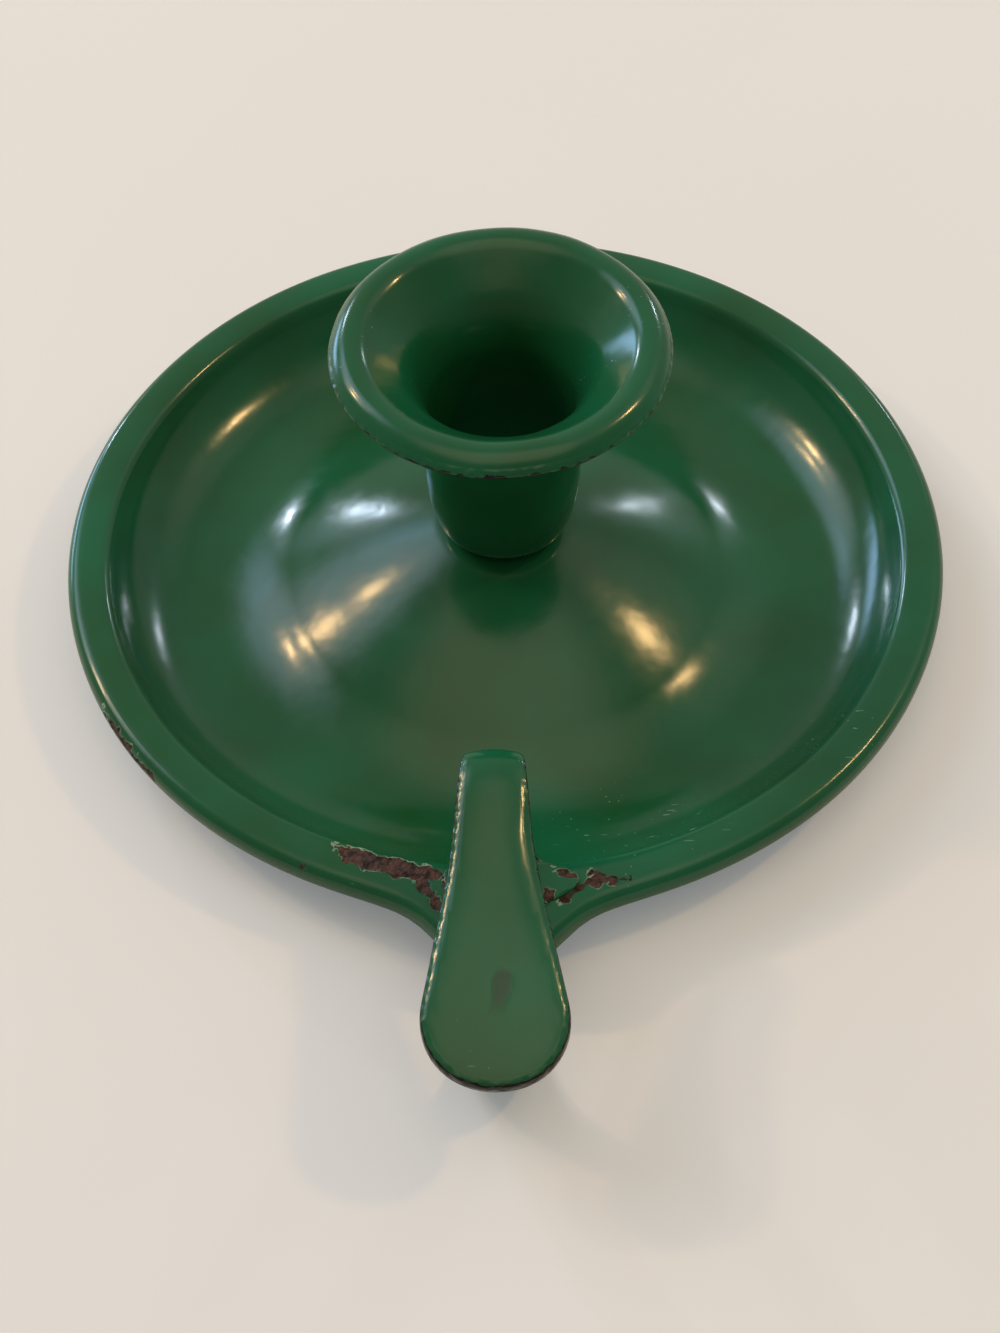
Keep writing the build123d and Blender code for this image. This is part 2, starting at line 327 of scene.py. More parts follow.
def scuff_marks(tree, place, patches):
    """Pale specks 1.1 mm apart and fine scratches some 5 mm long, only where it is scuffed."""
    scuff = add(tree, "ShaderNodeAttribute", output="Fac", attribute_name="scuff")
    cells = {"Vector": place, "Scale": spaced(1.1)}
    speck_distance = add(tree, "ShaderNodeTexVoronoi", cells, "Distance")
    speck_kind = add(tree, "ShaderNodeTexVoronoi", cells, "Color")
    speck = add(tree, "ShaderNodeMapRange", {
        "Value": speck_distance, "From Min": 0.12, "From Max": 0.05})
    chosen = add(tree, "ShaderNodeMath", {0: speck_kind, 1: 0.58}, operation="GREATER_THAN")
    specks = add(tree, "ShaderNodeMath", {0: speck, 1: chosen}, operation="MULTIPLY")
    drawn_out = add(tree, "ShaderNodeMapping", {
        "Vector": place, "Rotation": (0.0, 0.0, 0.5), "Scale": (0.1, 1.0, 1.0)})
    streaks = add(tree, "ShaderNodeTexNoise", {
        "Vector": drawn_out, "Scale": spaced(0.4), "Detail": 0.0})
    streak_sum = add(tree, "ShaderNodeMath", {0: streaks, 1: patches}, operation="ADD")
    streak = add(tree, "ShaderNodeMapRange", {
        "Value": streak_sum, "From Min": 1.40, "From Max": 1.44})
    marks = add(tree, "ShaderNodeMath", {0: specks, 1: streak}, operation="MAXIMUM")
    return add(tree, "ShaderNodeMath", {0: marks, 1: scuff}, operation="MULTIPLY")


def ground_coat_and_shade(tree, place, worn_and_shade):
    """The dark coat under the green, which shows along thin edges in a ragged line. On the thumb
    rest's turned-down edges it is also painted shade.
    """
    ragged = add(tree, "ShaderNodeTexNoise", {
        "Vector": place, "Scale": spaced(1.4), "Detail": 3.0})
    worn_sum = add(tree, "ShaderNodeMath", {0: worn_and_shade, 1: ragged}, operation="ADD")
    return add(tree, "ShaderNodeMapRange", {
        "Value": worn_sum, "From Min": 1.12, "From Max": 1.24}, interpolation_type="SMOOTHSTEP")


def chipped_off(tree, grain):
    """A chip's broken border, and the bare steel that starts a little further in."""
    chip = add(tree, "ShaderNodeAttribute", output="Fac", attribute_name="chip")
    grain_shift = add(tree, "ShaderNodeMath", {0: grain, 1: 0.16}, operation="MULTIPLY")
    chip_line = add(tree, "ShaderNodeMath", {0: chip, 1: grain_shift}, operation="ADD")
    border = add(tree, "ShaderNodeMapRange", {
        "Value": chip_line, "From Min": 0.50, "From Max": 0.54}, interpolation_type="SMOOTHSTEP")
    bare = add(tree, "ShaderNodeMapRange", {
        "Value": chip_line, "From Min": 0.57, "From Max": 0.60}, interpolation_type="SMOOTHSTEP")
    return border, bare


def broken_glass(tree, patches):
    """The pale break through the glass at a chip's border."""
    break_share = add(tree, "ShaderNodeMapRange", {
        "Value": patches, "From Min": 0.42, "From Max": 0.60})
    return add(tree, "ShaderNodeMix", {
        MIX_SHARE: break_share, MIX_FIRST: linear("#2c5a44"), MIX_SECOND: linear("#93b79c"),
    }, MIX_RESULT, data_type="RGBA")


def old_rust(tree, place, look):
    """Dark and red rust on the bare steel, clouded every 1.2 mm."""
    rust_clouds = add(tree, "ShaderNodeTexNoise", {
        "Vector": place, "Scale": spaced(1.2), "Detail": 5.0})
    rust_share = add(tree, "ShaderNodeMapRange", {
        "Value": rust_clouds, "From Min": 0.38, "From Max": 0.56})
    return add(tree, "ShaderNodeMix", {
        MIX_SHARE: rust_share,
        MIX_FIRST: [*look.dark_rust, 1.0], MIX_SECOND: [*look.red_rust, 1.0],
    }, MIX_RESULT, data_type="RGBA")


def relief(tree, place, look, worn_and_shade, grain, bare):
    """Ripples of the fired glass every 4 mm, beads of it every 1.3 mm along thin edges,
    and grains of rust every 0.5 mm."""
    ripples = add(tree, "ShaderNodeTexNoise", {
        "Vector": place, "Scale": spaced(4), "Detail": 1.5})
    rippled = add(tree, "ShaderNodeBump", {
        "Height": ripples, "Distance": look.ripple_height, "Strength": 1.0})
    beads = add(tree, "ShaderNodeTexNoise", {
        "Vector": place, "Scale": spaced(1.3), "Detail": 0.5})
    bead_height = add(tree, "ShaderNodeMath", {0: beads, 1: worn_and_shade}, operation="MULTIPLY")
    beaded = add(tree, "ShaderNodeBump", {
        "Height": bead_height, "Normal": rippled, "Distance": 0.0006, "Strength": 1.0})
    rust_height = add(tree, "ShaderNodeMath", {0: grain, 1: bare}, operation="MULTIPLY")
    return add(tree, "ShaderNodeBump", {
        "Height": rust_height, "Normal": beaded, "Distance": 0.0005, "Strength": 1.0})


def vitreous_enamel():
    """Green vitreous enamel: powdered glass fired on pressed steel. The eye sees a deep,
    slightly clouded green under a wet gloss with soft ripples, a near-black ground coat
    where the glass is thin, and dull rust where it has chipped off. On the thumb rest's
    turned-down edges the near-black coat is also painted shade."""
    look = bpy.context.scene.chamberstick_enamel
    material = emptied("vitreous_enamel_green")
    tree = material.node_tree
    place = add(tree, "ShaderNodeTexCoord", output="Object")
    worn_and_shade = add(tree, "ShaderNodeAttribute", output="Fac", attribute_name="worn_and_shade")
    weld = add(tree, "ShaderNodeAttribute", output="Fac", attribute_name="weld")
    patches = add(tree, "ShaderNodeTexNoise", {
        "Vector": place, "Scale": spaced(4), "Detail": 1.0})
    grain = add(tree, "ShaderNodeTexNoise", {
        "Vector": place, "Scale": spaced(0.5), "Detail": 4.0})
    scratch = scuff_marks(tree, place, patches)
    weld_share = add(tree, "ShaderNodeMath", {0: weld, 1: 0.6}, operation="MULTIPLY")
    dark_edge_and_shade = ground_coat_and_shade(tree, place, worn_and_shade)
    border, bare = chipped_off(tree, grain)

    # Over the green: pale scratches, the weld's dull grey green, the near-black ground
    # coat (on the thumb rest's turned-down edges also painted shade), the broken glass round a
    # chip and the rust in it
    colour = clouded_green(tree, place, look)
    for share, covering in (
        (scratch, linear("#7fb398")),
        (weld_share, linear("#3d4a3a")),
        (dark_edge_and_shade, linear("#1a1512")),
        (border, broken_glass(tree, patches)),
        (bare, old_rust(tree, place, look)),
    ):
        colour = add(tree, "ShaderNodeMix", {
            MIX_SHARE: share, MIX_FIRST: colour, MIX_SECOND: covering,
        }, MIX_RESULT, data_type="RGBA")

    # The gloss is fresh on the glass, a little handled in places, and lost on rust
    roughness = add(tree, "ShaderNodeMapRange", {
        "Value": patches, "From Min": 0.3, "From Max": 0.8,
        "To Min": look.gloss_roughness, "To Max": look.gloss_roughness + 0.06})
    for share, dulling in ((scratch, 0.3), (border, 0.6), (weld, 0.25)):
        roughness = add(tree, "ShaderNodeMath", {
            0: share, 1: dulling, 2: roughness}, operation="MULTIPLY_ADD", use_clamp=True)

    surface = add(tree, "ShaderNodeBsdfPrincipled", {
        "Base Color": colour, "Roughness": roughness, "IOR": 1.52,
        "Normal": relief(tree, place, look, worn_and_shade, grain, bare)})
    add(tree, "ShaderNodeOutputMaterial", {"Surface": surface})
    return material


def pale_counter():
    """Pale laminate of the counter, plain and matt, so that it only carries the shadow. The
    camera sees it a little paler than it lights the object."""
    material = emptied("pale_laminate")
    tree = material.node_tree
    place = add(tree, "ShaderNodeTexCoord", output="Object")
    clouds = add(tree, "ShaderNodeTexNoise", {
        "Vector": place, "Scale": spaced(60), "Detail": 2.0})
    colour = add(tree, "ShaderNodeMix", {
        MIX_SHARE: clouds, MIX_FIRST: linear("#ecebe8"), MIX_SECOND: linear("#f1f0ed"),
    }, MIX_RESULT, data_type="RGBA")
    seen = add(tree, "ShaderNodeLightPath", output="Is Camera Ray")
    paler = add(tree, "ShaderNodeMath", {0: seen, 1: 0.18}, operation="MULTIPLY")
    surface = add(tree, "ShaderNodeBsdfPrincipled", {
        "Base Color": colour, "Roughness": 0.55, "Emission Color": linear("#f2f8ff"),
        "Emission Strength": paler})
    add(tree, "ShaderNodeOutputMaterial", {"Surface": surface})
    return material


class PanSizes(bpy.types.PropertyGroup):
    """Sizes of the drip pan"""

    radius: FloatProperty(
        name="Radius", description="Outside of the rolled rim",
        default=pan_high.x, min=0.05, unit="LENGTH")
    rim_height: FloatProperty(
        name="Rim height", description="Table to the top of the rim",
        default=0.0125, min=0.01, unit="LENGTH")
    rim_width: FloatProperty(
        name="Rim width", description="Top of the wall to the outside of the roll",
        default=0.0067, min=0.005, unit="LENGTH")
    dome_height: FloatProperty(
        name="Dome height", description="Table to the flat land under the socket",
        default=pan_high.z, min=0.01, unit="LENGTH")
    lug_reach: FloatProperty(
        name="Lug reach", description="How far the rim is drawn out towards the handle",
        default=0.0079, min=0.0, unit="LENGTH")
    thickness: FloatProperty(
        name="Thickness", description="Steel with its enamel on both sides",
        default=SHEET / MM, min=0.0005, unit="LENGTH")


class SocketSizes(bpy.types.PropertyGroup):
    """Sizes of the candle socket"""

    bore_radius: FloatProperty(
        name="Bore radius", description="Inside of the straight part that holds the candle",
        default=0.0116, min=0.008, unit="LENGTH")
    flare_radius: FloatProperty(
        name="Flare radius", description="Outside of the lip",
        default=socket_high.x, min=0.02, unit="LENGTH")
    height: FloatProperty(
        name="Height", description="Table to the top of the lip",
        default=socket_high.z, min=0.04, unit="LENGTH")


class HandleSizes(bpy.types.PropertyGroup):
    """Sizes of the thumb rest and the finger loop"""

    neck_width: FloatProperty(
        name="Neck width", description="Width of the thumb rest at its bend",
        default=0.0086, min=0.005, unit="LENGTH")
    plate_edge: FloatProperty(
        name="Turned edge", description="How far the plate's edges turn down",
        default=0.0024, min=0.0016, unit="LENGTH")
    left_wing: FloatProperty(
        name="Left wing", description="How far the foot spreads to the left on the rim",
        default=0.0096, min=0.007, unit="LENGTH")
    right_wing: FloatProperty(
        name="Right wing", description="How far the foot spreads to the right on the rim",
        default=0.0138, min=0.007, unit="LENGTH")
    strap_width: FloatProperty(
        name="Strap width", description="Width of the finger loop",
        default=loop_high.x - loop_low.x, min=0.005, unit="LENGTH")
    strap_thickness: FloatProperty(
        name="Strap thickness", description="Thickness of the finger loop",
        default=0.0012, min=0.0005, unit="LENGTH")


class EnamelLook(bpy.types.PropertyGroup):
    """Colours and finish of the enamel"""

    deep_green: FloatVectorProperty(
        name="Deep green", description="Enamel where it lies thick",
        subtype="COLOR", min=0.0, max=1.0, default=linear("#1b5930")[:3])
    clear_green: FloatVectorProperty(
        name="Clear green", description="Enamel where it is thinner",
        subtype="COLOR", min=0.0, max=1.0, default=linear("#186e4a")[:3])
    dark_rust: FloatVectorProperty(
        name="Dark rust", description="Old rust in the chips",
        subtype="COLOR", min=0.0, max=1.0, default=linear("#281a16")[:3])
    red_rust: FloatVectorProperty(
        name="Red rust", description="Fresher rust in the chips",
        subtype="COLOR", min=0.0, max=1.0, default=linear("#5f4237")[:3])
    gloss_roughness: FloatProperty(
        name="Gloss roughness", description="Roughness of the clean enamel",
        subtype="FACTOR", min=0.02, max=1.0, default=0.15)
    ripple_height: FloatProperty(
        name="Ripple height", description="Height of the ripples in the fired glass",
        default=0.00004, min=0.0, precision=6, unit="LENGTH")


class StudioLook(bpy.types.PropertyGroup):
    """Light, camera and smoothness"""

    room_light: FloatProperty(
        name="Room light", description="Share of the light that comes from all round",
        subtype="FACTOR", min=0.0, max=1.0, default=0.42)
    focal_length: FloatProperty(
        name="Focal length", description="Lens of the camera, in millimetres",
        min=10.0, default=61.8)
    turn_steps: IntProperty(
        name="Turning steps", description="Facets round the pan and the socket",
        min=48, default=240)


class CHAMBERSTICK_OT_pan(bpy.types.Operator):
    """Pressed drip pan with a domed middle, a rolled rim and a lug towards the handle"""

    bl_idname = "chamberstick.pan"
    bl_label = "Drip Pan"

    def execute(self, context):
        sizes = context.scene.chamberstick_pan
        outside = sizes.radius * MM
        top = sizes.rim_height * MM
        bm = self.pressed(sizes, outside, top, context.scene.chamberstick_studio.turn_steps)
        self.draw_lug(bm, outside, top, sizes.lug_reach * MM)
        # The floor is never quite flat, and its waves stay above the table
        lift = 0.14
        for vert in bm.verts:
            bump = lift + uneven(vert.co, size=28.0, height=0.22)
            vert.co.z += bump * eased(vert.co.xy.length, 12.0, 30.0)
        give_thickness(bm, sizes.thickness * MM, rounding=0.3)
        refine(bm, RIM_CHIPS, reach=2.6, cuts=5)
        mark(bm, RIM_CHIPS, RIM_SCUFFS, depth=0.28)
        wear_edge(bm, outside - 4.0, top, start=3.4, full=4.9, most=0.62)
        finished(bm, "drip_pan", "pan", vitreous_enamel())
        return {"FINISHED"}

    def pressed(self, sizes, outside, top, steps):
        """The round pan before its lug is drawn, from the dome's land to the rolled rim."""
        dome = sizes.dome_height * MM
        floor = sizes.thickness * MM
        # Radii of the land under the socket, the dome's shoulder and its foot
        land, shoulder, dome_foot = 9.6, 24.5, 43.0
        shoulder_drop = 4.85
        wall_top = outside - sizes.rim_width * MM
        wall_foot = wall_top - 4.7
        # The rim is crowned, so its inner and outer corners lie a little lower
        inner_fall, crown_rise, outer_fall = 0.3, 0.15, 0.4
        skirt = top - 5.0
        rolled_in = 3.4
        return turned([
            (0.0, dome, 0, 0),
            (land, dome, 2.2, 8),
            (shoulder, dome - shoulder_drop, 13.0, 16),
            (dome_foot, floor, 7.6, 12),
            (wall_foot, floor, 9.6, 16),
            (wall_top, top - inner_fall, 1.1, 6),
            ((wall_top + outside) / 2, top + crown_rise, 1.7, 6),
            (outside, top - outer_fall, 1.7, 8),
            (outside, skirt, 2.2, 8),
            (outside - rolled_in, skirt, 0, 0),
        ], steps, longest=2.2)

    def draw_lug(self, bm, outside, top, reach):
        """Draws the rim out towards the handle. Its lip gets narrow there, so that the
        finger loop's strap can pass."""
        rim_inside = outside - 5.5
        lip_top = top - 3.0
        half_angle = 7.8
        for vert in bm.verts:
            radius = vert.co.xy.length
            if radius < rim_inside:
                continue
            angle = math.degrees(math.atan2(vert.co.x, -vert.co.y))
            pull = reach / (1.0 + (angle / half_angle) ** 4)
            if vert.co.z < lip_top:
                narrowed = 1.0 - 0.75 * (1.0 - eased(abs(angle), 6.0, 12.0))
                target = outside - (outside - radius) * narrowed + pull
            else:
                target = radius + pull * eased(radius, rim_inside, outside - 2.0)
            vert.co.xy *= target / radius


class CHAMBERSTICK_OT_socket(bpy.types.Operator):
    """Deep-drawn candle socket with a rounded foot and a flared lip"""

    bl_idname = "chamberstick.socket"
    bl_label = "Candle Socket"

    def execute(self, context):
        sizes = context.scene.chamberstick_socket
        steps = context.scene.chamberstick_studio.turn_steps
        # The lip is bent round corners that stand this far outside and above it
        corner_out, corner_up = 0.15, 3.9
        lip = sizes.flare_radius * MM + corner_out
        top = sizes.height * MM + corner_up
        bm = self.drawn(sizes.bore_radius * MM, lip, top, steps)
        # The lip leans a degree towards the handle and is a little out of round
        lean = 0.018
        for vert in bm.verts:
            leaning = vert.co.y * lean + uneven(vert.co, size=16.0, height=0.14)
            vert.co.z += leaning * eased(vert.co.z, 40.0, 53.0)
            wave = uneven(vert.co, size=7.0, height=0.007)
            vert.co.xy *= 1.0 + wave * eased(vert.co.z, 36.0, 46.0)
        mark(bm, [], LIP_SCUFFS, depth=0.0)
        wear_edge(bm, lip - 2.0, top, start=3.4, full=4.5, most=0.83)
        give_thickness(bm, SHEET, rounding=0.4)
        finished(bm, "candle_socket_enamelled", "candle_socket", vitreous_enamel())
        return {"FINISHED"}

    def drawn(self, bore, lip, top, steps):
        """The cup's inner side, from its floor on the dome to the edge of its lip."""
        floor = pan_high.z * MM + SHEET
        floor_radius = 9.7
        foot_top = floor + 9.0
        flare_start = top - 10.6
        crest_radius, crest_rise = lip - 3.0, 0.2
        edge = top - 4.3
        return turned([
            (0.0, floor, 0, 0),
            (floor_radius, floor, 3.0, 8),
            (bore, foot_top, 3.75, 6),
            (bore, flare_start, 5.8, 16),
            (crest_radius, top + crest_rise, 4.3, 16),
            (lip, edge, 0, 0),
        ], steps, longest=2.0)


class CHAMBERSTICK_OT_rivet(bpy.types.Operator):
    """Finish of the rivet in the floor of the socket, whose shape is already right"""

    bl_idname = "chamberstick.rivet"
    bl_label = "Rivet Finish"

    def execute(self, context):
        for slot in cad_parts["socket_rivet"].material_slots:
            slot.material = vitreous_enamel()
        return {"FINISHED"}


class CHAMBERSTICK_OT_finger_loop(bpy.types.Operator):
    """Finger loop bent from a strap, from under the lug to under the thumb rest"""

    bl_idname = "chamberstick.finger_loop"
    bl_label = "Finger Loop"

    def execute(self, context):
        sizes = context.scene.chamberstick_handle
        half = sizes.strap_width * MM / 2
        bm = bmesh.new()
        # Out under the lug, down, along above the table, up and back under the plate
        under_lug, low = 11.6, 2.0
        near, far = -78.9, -98.1
        bent_line(bm, [
            ((-half, -73.3, under_lug), 0, 0),
            ((-half, near, under_lug), 2.2, 6),
            ((-half, near, low), 7.0, 10),
            ((-half, far, low), 9.2, 12),
            ((-half, far, 21.85), 6.64, 10),
            ((-half, -86.6, 24.3), 0, 0),
        ])
        part_long_edges(bm, longest=2.5)
        made = bmesh.ops.extrude_edge_only(bm, edges=bm.edges[:])["geom"]
        right_side = [item for item in made if isinstance(item, bmesh.types.BMVert)]
        bmesh.ops.translate(bm, vec=(half * 2, 0, 0), verts=right_side)
        across = [edge for edge in bm.edges
                  if abs(edge.verts[0].co.x - edge.verts[1].co.x) > half]
        bmesh.ops.subdivide_edges(bm, edges=across, cuts=5, use_grid_fill=True)
        bmesh.ops.recalc_face_normals(bm, faces=bm.faces[:])
        lowest = min(bm.faces, key=lambda face: face.calc_center_median().z)
        if lowest.normal.z < 0:
            bmesh.ops.reverse_faces(bm, faces=bm.faces[:])
        for vert in bm.verts:
            vert.co.x += uneven(vert.co, size=12.0, height=0.25)
        mark(bm, [], [], depth=0.0)
        give_thickness(bm, sizes.strap_thickness * MM, rounding=0.45)
        finished(bm, "finger_loop_enamelled", "finger_loop", vitreous_enamel())
        return {"FINISHED"}


class CHAMBERSTICK_OT_thumb_rest(bpy.types.Operator):
    """Thumb rest bent from a flat blank: foot, leg, bend and plate with turned-down edges"""

    bl_idname = "chamberstick.thumb_rest"
    bl_label = "Thumb Rest"

    def execute(self, context):
        sizes = context.scene.chamberstick_handle
        plate_length = 45.9
        path = self.bending_path()
        lengths = [0.0]
        for before, after in zip(path, path[1:]):
            lengths.append(lengths[-1] + (after - before).length)
        end = lengths[-1]
        crest = end - plate_length
        edge = sizes.plate_edge * MM
        bm = self.blank(sizes, crest, end, edge)
        self.divide(bm, lengths)
        self.crown(bm, crest, end, edge)
        self.bend(bm, path, lengths, crest, end)
        bmesh.ops.dissolve_degenerate(bm, dist=0.15, edges=bm.edges[:])
        bmesh.ops.reverse_faces(bm, faces=bm.faces[:])
        # Bent by hand: three waves that don't follow each other
        for vert in bm.verts:
            vert.co += Vector((
                uneven(vert.co, size=9.0, height=0.10),
                uneven(vert.co + Vector((40, 0, 0)), size=9.0, height=0.08),
                uneven(vert.co + Vector((0, 40, 0)), size=11.0, height=0.14),
            ))
        give_thickness(bm, SHEET, rounding=0.28)
        refine(bm, FOOT_CHIPS, reach=1.5, cuts=3)
        refine(bm, WELD_MARK, reach=1.2, cuts=3)
        mark(bm, FOOT_CHIPS, PLATE_SCUFFS, depth=0.15)
        self.mark_weld(bm, depth=0.16)
        finished(bm, "thumb_rest_enamelled", "thumb_rest", vitreous_enamel())
        return {"FINISHED"}

    def bending_path(self):
        """The side view of the sheet's outer face, from the foot's end to the plate's."""
        rim_top = 12.25
        line = bmesh.new()
        bent_line(line, [
            ((0, -73.5, rim_top), 0, 0),
            ((0, -65.1, rim_top), 1.1, 5),
            ((0, -51.5, 34.0), 12.8, 20),
            ((0, -107.3, 22.1), 0, 0),
        ])
        part_long_edges(line, longest=2.5)
        ends = [vert for vert in line.verts if len(vert.link_edges) == 1]
        vert = min(ends, key=lambda end: end.co.z)
        path = [vert.co.copy()]
        edge = vert.link_edges[0]
        while True:
            vert = edge.other_vert(vert)
            path.append(vert.co.copy())
            onward = [other for other in vert.link_edges if other is not edge]
            if not onward:
                break
            edge = onward[0]
        line.free()
        return path

    def blank(self, sizes, crest, end, edge):
        """The flat blank with its edges turned down, its length along Y from the foot."""
        neck = sizes.neck_width * MM / 2
        left, right = sizes.left_wing * MM, sizes.right_wing * MM
        # Corners from the foot's end up, as half width, place along the blank, toe and
        # segments: the foot's end, its wing, the ankle, the leg, the bend and the plate
        foot_end = (6.0, 0.0, 2.0, 4)
        wing = 5.2
        sides = [
            (5.6, 8.9, 1.6, 4),
            (neck, 16.5, 4.0, 5),
            (neck, crest - 7.0, 4.0, 5),
            (6.1, crest + 13.0, 5.0, 6),
            (12.6, end, 12.58, 18),
        ]
        right_side = [foot_end, (right, wing, 3.8, 8), *sides]
        left_side = [foot_end, (left, wing, 2.4, 5), *sides]
        corners = [((x, y, 0.0), toe, segments) for x, y, toe, segments in right_side]
        corners += [((-x, y, 0.0), toe, segments) for x, y, toe, segments in left_side[::-1]]
        bm = bmesh.new()
        verts = [bm.verts.new(corner[0]) for corner in corners]
        bm.faces.new(verts)
        round_corners(bm, verts, corners)
        bmesh.ops.remove_doubles(bm, verts=bm.verts[:], dist=0.06)
        bmesh.ops.translate(bm, vec=(0, 0, -edge), verts=bm.verts[:])
        top = bmesh.ops.extrude_discrete_faces(bm, faces=bm.faces[:])["faces"]
        # The edge rises straight and then rounds over in rings: how far in, how far up
        rings = ((0.06, 0.42), (0.14, 0.36), (0.24, 0.28), (0.36, 0.20), (0.50, 0.12))
        straight = edge - sum(rise for inset, rise in rings)
        bmesh.ops.translate(bm, vec=(0, 0, straight), verts=top[0].verts[:])
        for inset, rise in rings:
            bmesh.ops.inset_region(
                bm, faces=top, thickness=inset, depth=rise,
                use_even_offset=True, use_boundary=True)
        return bm

    def divide(self, bm, lengths):
        """Cuts the blank at each point of the bending path, and in strips along it."""
        strip = 1.25
        cuts = [((0, cut, 0), (0, 1, 0)) for cut in lengths[1:-1]]
        cuts += [((cut * strip, 0, 0), (1, 0, 0)) for cut in range(-7, 8)]
        for place, across in cuts:
            bmesh.ops.bisect_plane(
                bm, geom=bm.verts[:] + bm.edges[:] + bm.faces[:], dist=0.05,
                plane_co=place, plane_no=across)

    def crown(self, bm, crest, end, edge):
        """Rounds the sheet's top towards its turned-down edges. They are full on the plate,
        half as deep on the leg and run out at the foot. The neck is rounded most, above
        all on its right side."""
        rounded_width = 5.0
        outline = [[tip.co.xy.to_3d() for tip in side.verts]
                   for side in bm.edges if side.is_boundary]
        worn_and_shade = bm.verts.layers.float.new("worn_and_shade")
        for vert in bm.verts:
            place = vert.co.xy.to_3d()
            inset = min(from_run(place, start, stop - start)[0].length
                        for start, stop in outline)
            started = eased(place.y, 9.0, 20.0)
            turned_down = 0.5 * started + 0.5 * eased(place.y, crest - 4.0, crest + 12.0)
            # Painted shade: the turned-down edges are marked darker the lower they reach, most
            # towards the plate's end. This is partly the ground coat on the thin edge and partly
            # painted shade.
            drop = -vert.co.z / edge
            wear_and_shade_gain = 2.4 + 2.0 * eased(place.y, end - 14.0, end - 4.0)
            vert[worn_and_shade] = min(drop * wear_and_shade_gain, 1.0) * started
            vert.co.z *= turned_down
            at_neck = started * (1.0 - eased(place.y, crest + 12.0, crest + 34.0))
            right = eased(place.x, -1.0, 3.0) * eased(place.y, crest + 2.0, crest + 10.0)
            crown = 0.5 + at_neck * (0.2 + 0.6 * right)
            off_flat = (1.0 - min(inset / rounded_width, 1.0)) ** 2
            vert.co.z -= crown * off_flat * eased(place.y, 8.0, 16.0)

    def bend(self, bm, path, lengths, crest, end):
        """Lays the blank along its bending path. The neck leans a little to the left."""
        neck_lean = -0.8
        normals = []
        for number, point in enumerate(path):
            along = path[min(number + 1, len(path) - 1)] - path[max(number - 1, 0)]
            normals.append(Vector((0, along.z, -along.y)).normalized())
        for vert in bm.verts:
            x, y, height = vert.co
            number = 0
            while number < len(path) - 2 and lengths[number + 1] < y:
                number += 1
            share = (y - lengths[number]) / (lengths[number + 1] - lengths[number])
            place = path[number].lerp(path[number + 1], share)
            normal = normals[number].lerp(normals[number + 1], share).normalized()
            lean = neck_lean * eased(y, 8.0, crest - 8.0) * (1.0 - eased(y, crest, end))
            vert.co = place + normal * height + Vector((x + lean, 0, 0))

    def mark_weld(self, bm, depth):
        """Stores the weld's mark on the plate's top, and sinks it a little."""
        weld = bm.verts.layers.float.new("weld")
        for vert in bm.verts:
            if vert.normal.z > 0.5:
                ragged = uneven(vert.co, size=1.5, height=0.5)
                vert[weld] = eased(run_depth(vert.co, WELD_MARK) + ragged, -0.2, 0.3)
                vert.co -= vert.normal * depth * vert[weld]


def towards(turn, rise):
    """The direction that is turned from +Y towards +X and raised, both in degrees."""
    turn, rise = math.radians(turn), math.radians(rise)
    return Vector((
        math.sin(turn) * math.cos(rise), math.cos(turn) * math.cos(rise), math.sin(rise)))


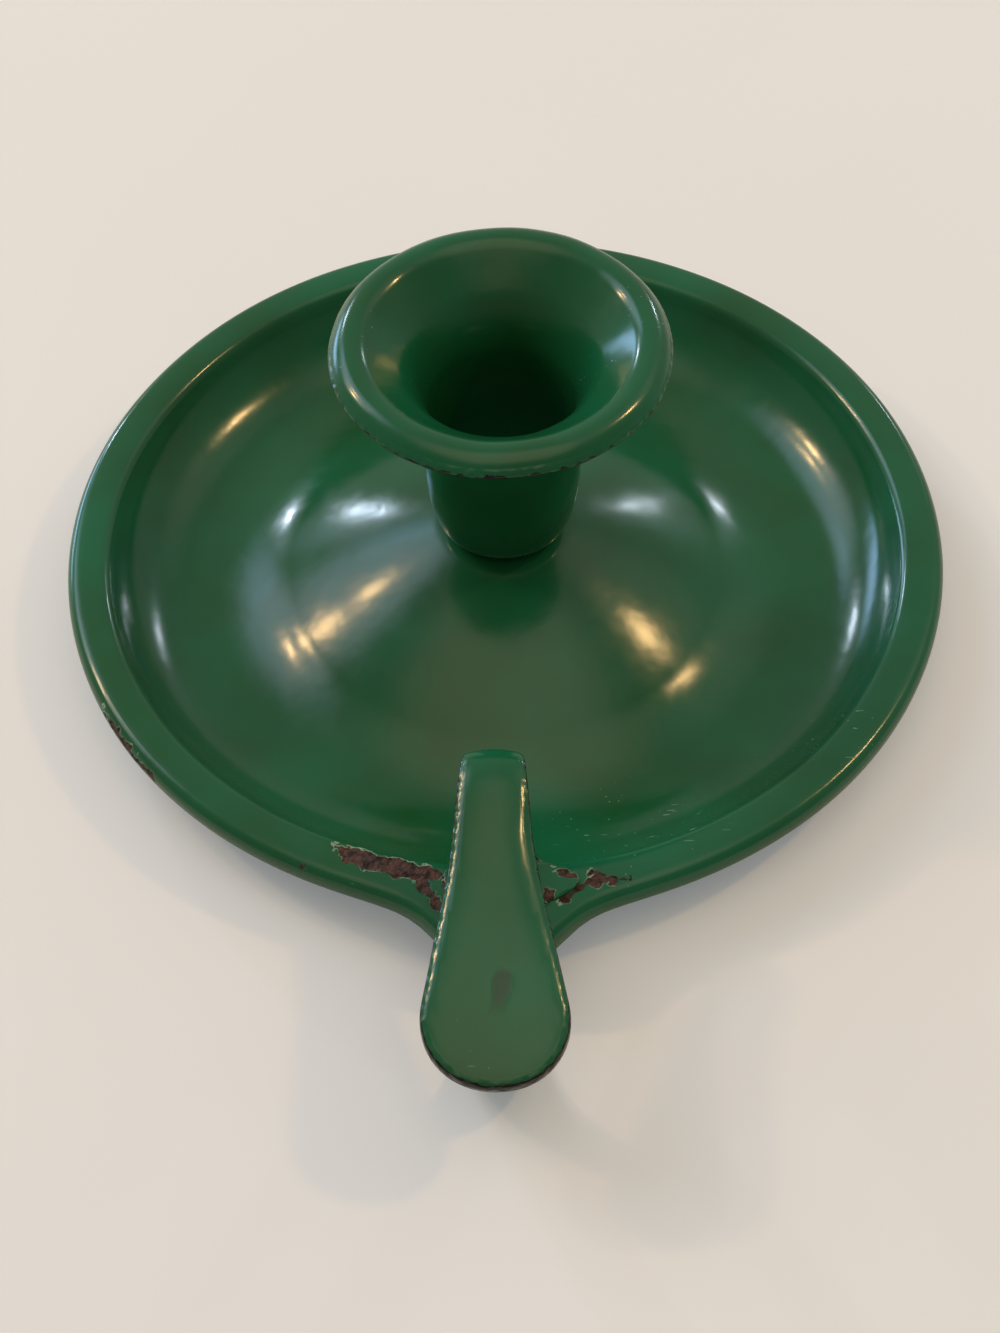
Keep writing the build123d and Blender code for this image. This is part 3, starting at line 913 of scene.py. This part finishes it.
class CHAMBERSTICK_OT_stage(bpy.types.Operator):
    """Pale counter, soft studio light and the camera"""

    bl_idname = "chamberstick.stage"
    bl_label = "Studio Stage"

    def execute(self, context):
        studio = context.scene.chamberstick_studio
        self.lay_counter(context)
        self.light_room(context, studio.room_light)
        self.hang_lamps(context)
        camera = bpy.data.objects.new("camera", bpy.data.cameras.new("camera"))
        camera.data.lens = studio.focal_length
        camera.location = CAMERA_PLACE
        camera.rotation_euler = [math.radians(angle) for angle in CAMERA_TURN]
        camera.data.clip_start = 0.01
        context.collection.objects.link(camera)
        context.scene.camera = camera
        context.scene.view_settings.view_transform = "Standard"
        return {"FINISHED"}

    def lay_counter(self, context):
        """Lays the flat counter that the chamberstick stands on."""
        bm = bmesh.new()
        bmesh.ops.create_grid(bm, x_segments=2, y_segments=2, size=COUNTER_REACH)
        mesh = bpy.data.meshes.new("counter")
        bm.to_mesh(mesh)
        bm.free()
        mesh.materials.append(pale_counter())
        floor = bpy.data.objects.new("counter", mesh)
        context.collection.objects.link(floor)

    def light_room(self, context, room_light):
        """Fills the room with even light and soft glows. The camera sees a pale wall."""
        world = bpy.data.worlds.new("studio")
        context.scene.world = world
        world.use_nodes = True
        room = world.node_tree
        room.nodes.clear()
        way = add(room, "ShaderNodeTexCoord", output="Generated")
        # The room is dim in front and brighter behind
        depth = add(room, "ShaderNodeSeparateXYZ", {"Vector": way}, "Y")
        level = add(room, "ShaderNodeMapRange", {
            "Value": depth, "From Min": -0.6, "From Max": 0.7,
            "To Min": 0.4 * room_light, "To Max": room_light,
        }, interpolation_type="SMOOTHSTEP")
        light = add(room, "ShaderNodeBackground", {
            "Color": linear("#f6f0e6"), "Strength": level})
        for turn, rise, reach, strength, colour in GLOWS:
            nearness = add(room, "ShaderNodeVectorMath", {
                0: way, 1: towards(turn, rise)}, "Value", operation="DOT_PRODUCT")
            glow = add(room, "ShaderNodeMapRange", {
                "Value": nearness, "From Min": math.cos(math.radians(reach)), "From Max": 1.0,
                "To Min": 0.0, "To Max": strength}, interpolation_type="SMOOTHERSTEP")
            glowing = add(room, "ShaderNodeBackground", {
                "Color": linear(colour), "Strength": glow})
            light = add(room, "ShaderNodeAddShader", {0: light, 1: glowing})
        seen = add(room, "ShaderNodeLightPath", output="Is Camera Ray")
        wall = add(room, "ShaderNodeBackground", {"Color": linear("#dcd6cd"), "Strength": 1.0})
        shown = add(room, "ShaderNodeMixShader", {0: seen, 1: light, 2: wall})
        add(room, "ShaderNodeOutputWorld", {"Surface": shown})

    def hang_lamps(self, context):
        """Hangs the lamps, each turned to the middle. A share of 1 lights white fully there."""
        for name, turn, rise, distance, width, height, share, colour in LAMPS:
            lamp = bpy.data.lights.new(name, "AREA")
            lamp.shape = "RECTANGLE"
            lamp.size, lamp.size_y = width, height
            lamp.color = linear(colour)[:3]
            lamp.energy = share * (math.pi * distance) ** 2
            away = towards(turn, rise)
            placed = bpy.data.objects.new(name, lamp)
            placed.location = away * distance
            placed.rotation_euler = away.to_track_quat("Z", "Y").to_euler()
            context.collection.objects.link(placed)


class CHAMBERSTICK_PT_panel(bpy.types.Panel):
    """Builds the chamberstick piece by piece"""

    bl_label = "Chamberstick"
    bl_space_type = "VIEW_3D"
    bl_region_type = "UI"
    bl_category = "Chamberstick"

    def draw(self, context):
        for name in GROUPS:
            group = getattr(context.scene, name)
            box = self.layout.box()
            for key in group.__annotations__:
                box.prop(group, key)
        for operator in OPERATORS:
            self.layout.operator(operator.bl_idname)


GROUPS = {
    "chamberstick_pan": PanSizes,
    "chamberstick_socket": SocketSizes,
    "chamberstick_handle": HandleSizes,
    "chamberstick_enamel": EnamelLook,
    "chamberstick_studio": StudioLook,
}
OPERATORS = (
    CHAMBERSTICK_OT_stage,
    CHAMBERSTICK_OT_pan,
    CHAMBERSTICK_OT_socket,
    CHAMBERSTICK_OT_rivet,
    CHAMBERSTICK_OT_finger_loop,
    CHAMBERSTICK_OT_thumb_rest,
)
CLASSES = (*GROUPS.values(), *OPERATORS, CHAMBERSTICK_PT_panel)


def register():
    for item in CLASSES:
        bpy.utils.register_class(item)
    for name, group in GROUPS.items():
        setattr(bpy.types.Scene, name, PointerProperty(type=group))


def unregister():
    for name in GROUPS:
        delattr(bpy.types.Scene, name)
    for item in reversed(CLASSES):
        bpy.utils.unregister_class(item)


def main():
    register()
    bpy.ops.chamberstick.stage()
    bpy.ops.chamberstick.pan()
    bpy.ops.chamberstick.socket()
    bpy.ops.chamberstick.rivet()
    bpy.ops.chamberstick.finger_loop()
    bpy.ops.chamberstick.thumb_rest()


if __name__ == "__main__":
    main()
